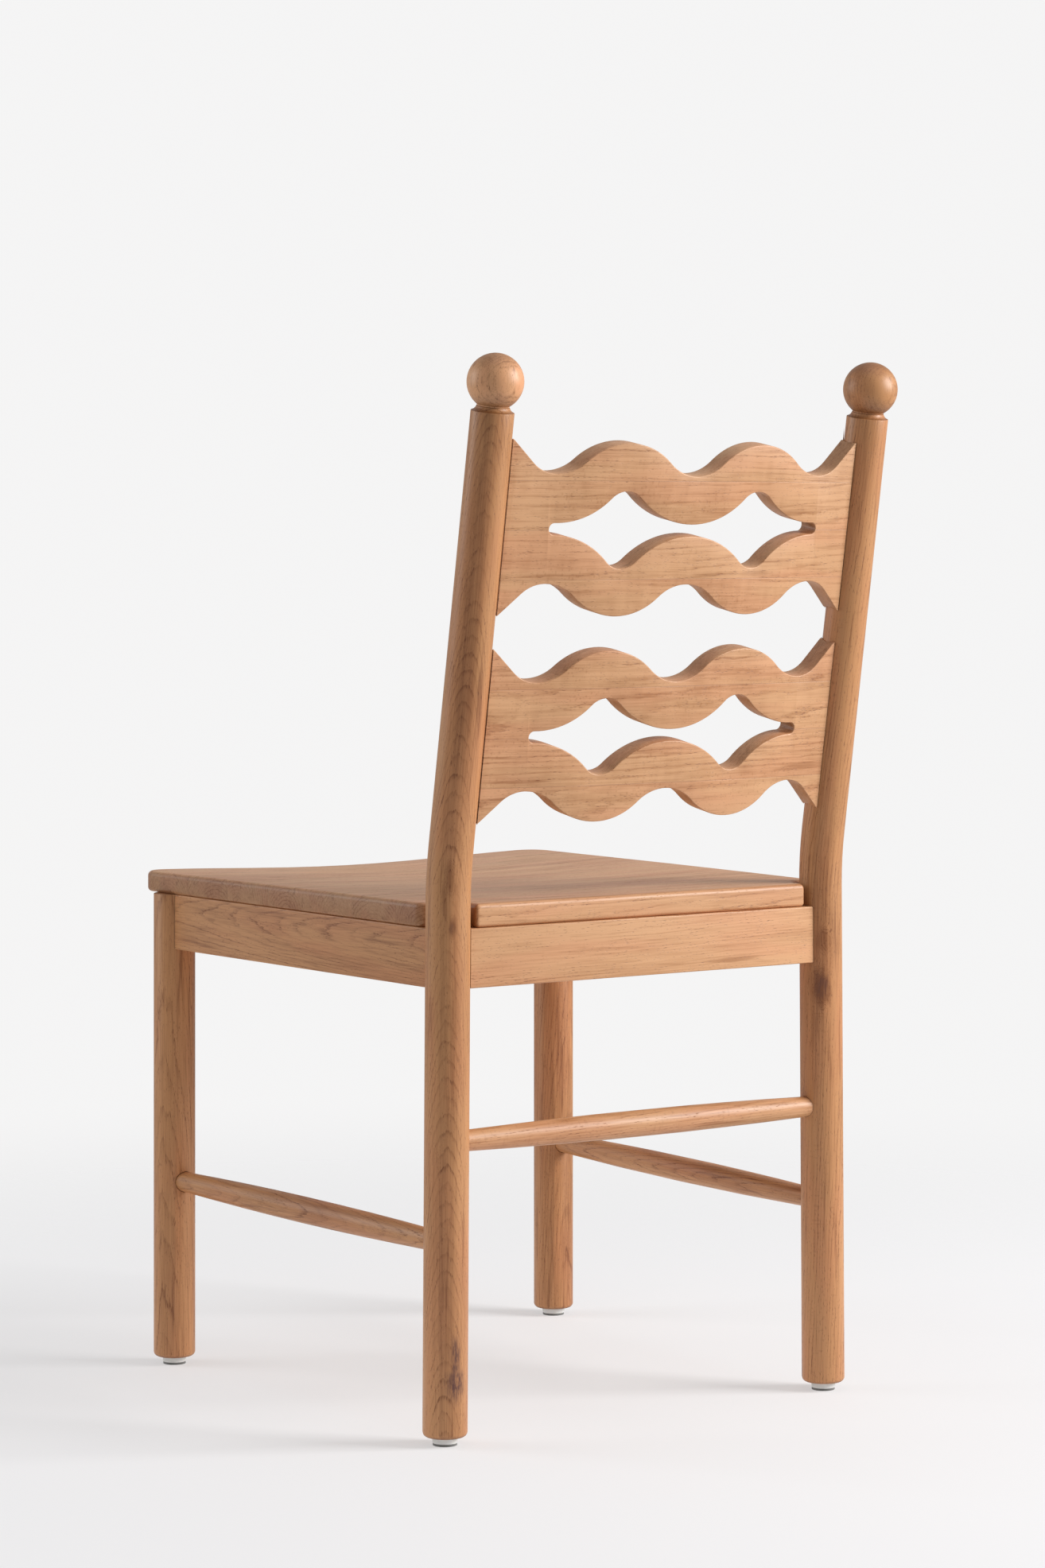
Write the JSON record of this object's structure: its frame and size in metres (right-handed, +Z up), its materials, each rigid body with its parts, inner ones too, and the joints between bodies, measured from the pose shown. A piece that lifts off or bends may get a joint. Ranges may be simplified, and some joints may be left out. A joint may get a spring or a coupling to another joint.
{
  "type": "dining chair",
  "caption": "Wooden dining chair with round legs, ball finials, a lightly dished seat and a raked back of bowed panels with scalloped edges and pierced eyes.",
  "frame": {"origin": "on the floor under the middle of the chair, the centre of the bottom of its bounding box", "axes": "+Z up, -Y the way the sitter faces, +X to the sitter's left; the chair is mirror-symmetric about X = 0"},
  "size_m": [0.4636, 0.5729, 0.9124],
  "materials": {
    "oak": "clear satin lacquer over warm light-brown oak",
    "block_wood": "bare sawn hardwood",
    "screw_steel": "zinc-plated",
    "glide_plastic": "off-white moulded",
    "glide_felt": "grey felt"
  },
  "bodies": {
    "root": {"corner_block_screws": "screw_steel", "front_apron": "oak", "front_left_corner_block": "block_wood", "front_left_glide": "glide_plastic", "front_left_glide_pad": "glide_felt", "front_right_corner_block": "block_wood", "front_right_glide": "glide_plastic", "front_right_glide_pad": "glide_felt", "glide_nails": "screw_steel", "left_finial": "oak", "left_front_leg": "oak", "left_rear_post": "oak", "left_side_apron": "oak", "left_stretcher": "oak", "lower_back_panel": "oak", "rear_apron": "oak", "rear_left_corner_block": "block_wood", "rear_left_glide": "glide_plastic", "rear_left_glide_pad": "glide_felt", "rear_right_corner_block": "block_wood", "rear_right_glide": "glide_plastic", "rear_right_glide_pad": "glide_felt", "rear_stretcher": "oak", "right_finial": "oak", "right_front_leg": "oak", "right_rear_post": "oak", "right_side_apron": "oak", "right_stretcher": "oak", "seat_board": "oak", "seat_screws": "screw_steel", "upper_back_panel": "oak"}
  },
  "joints": []
}
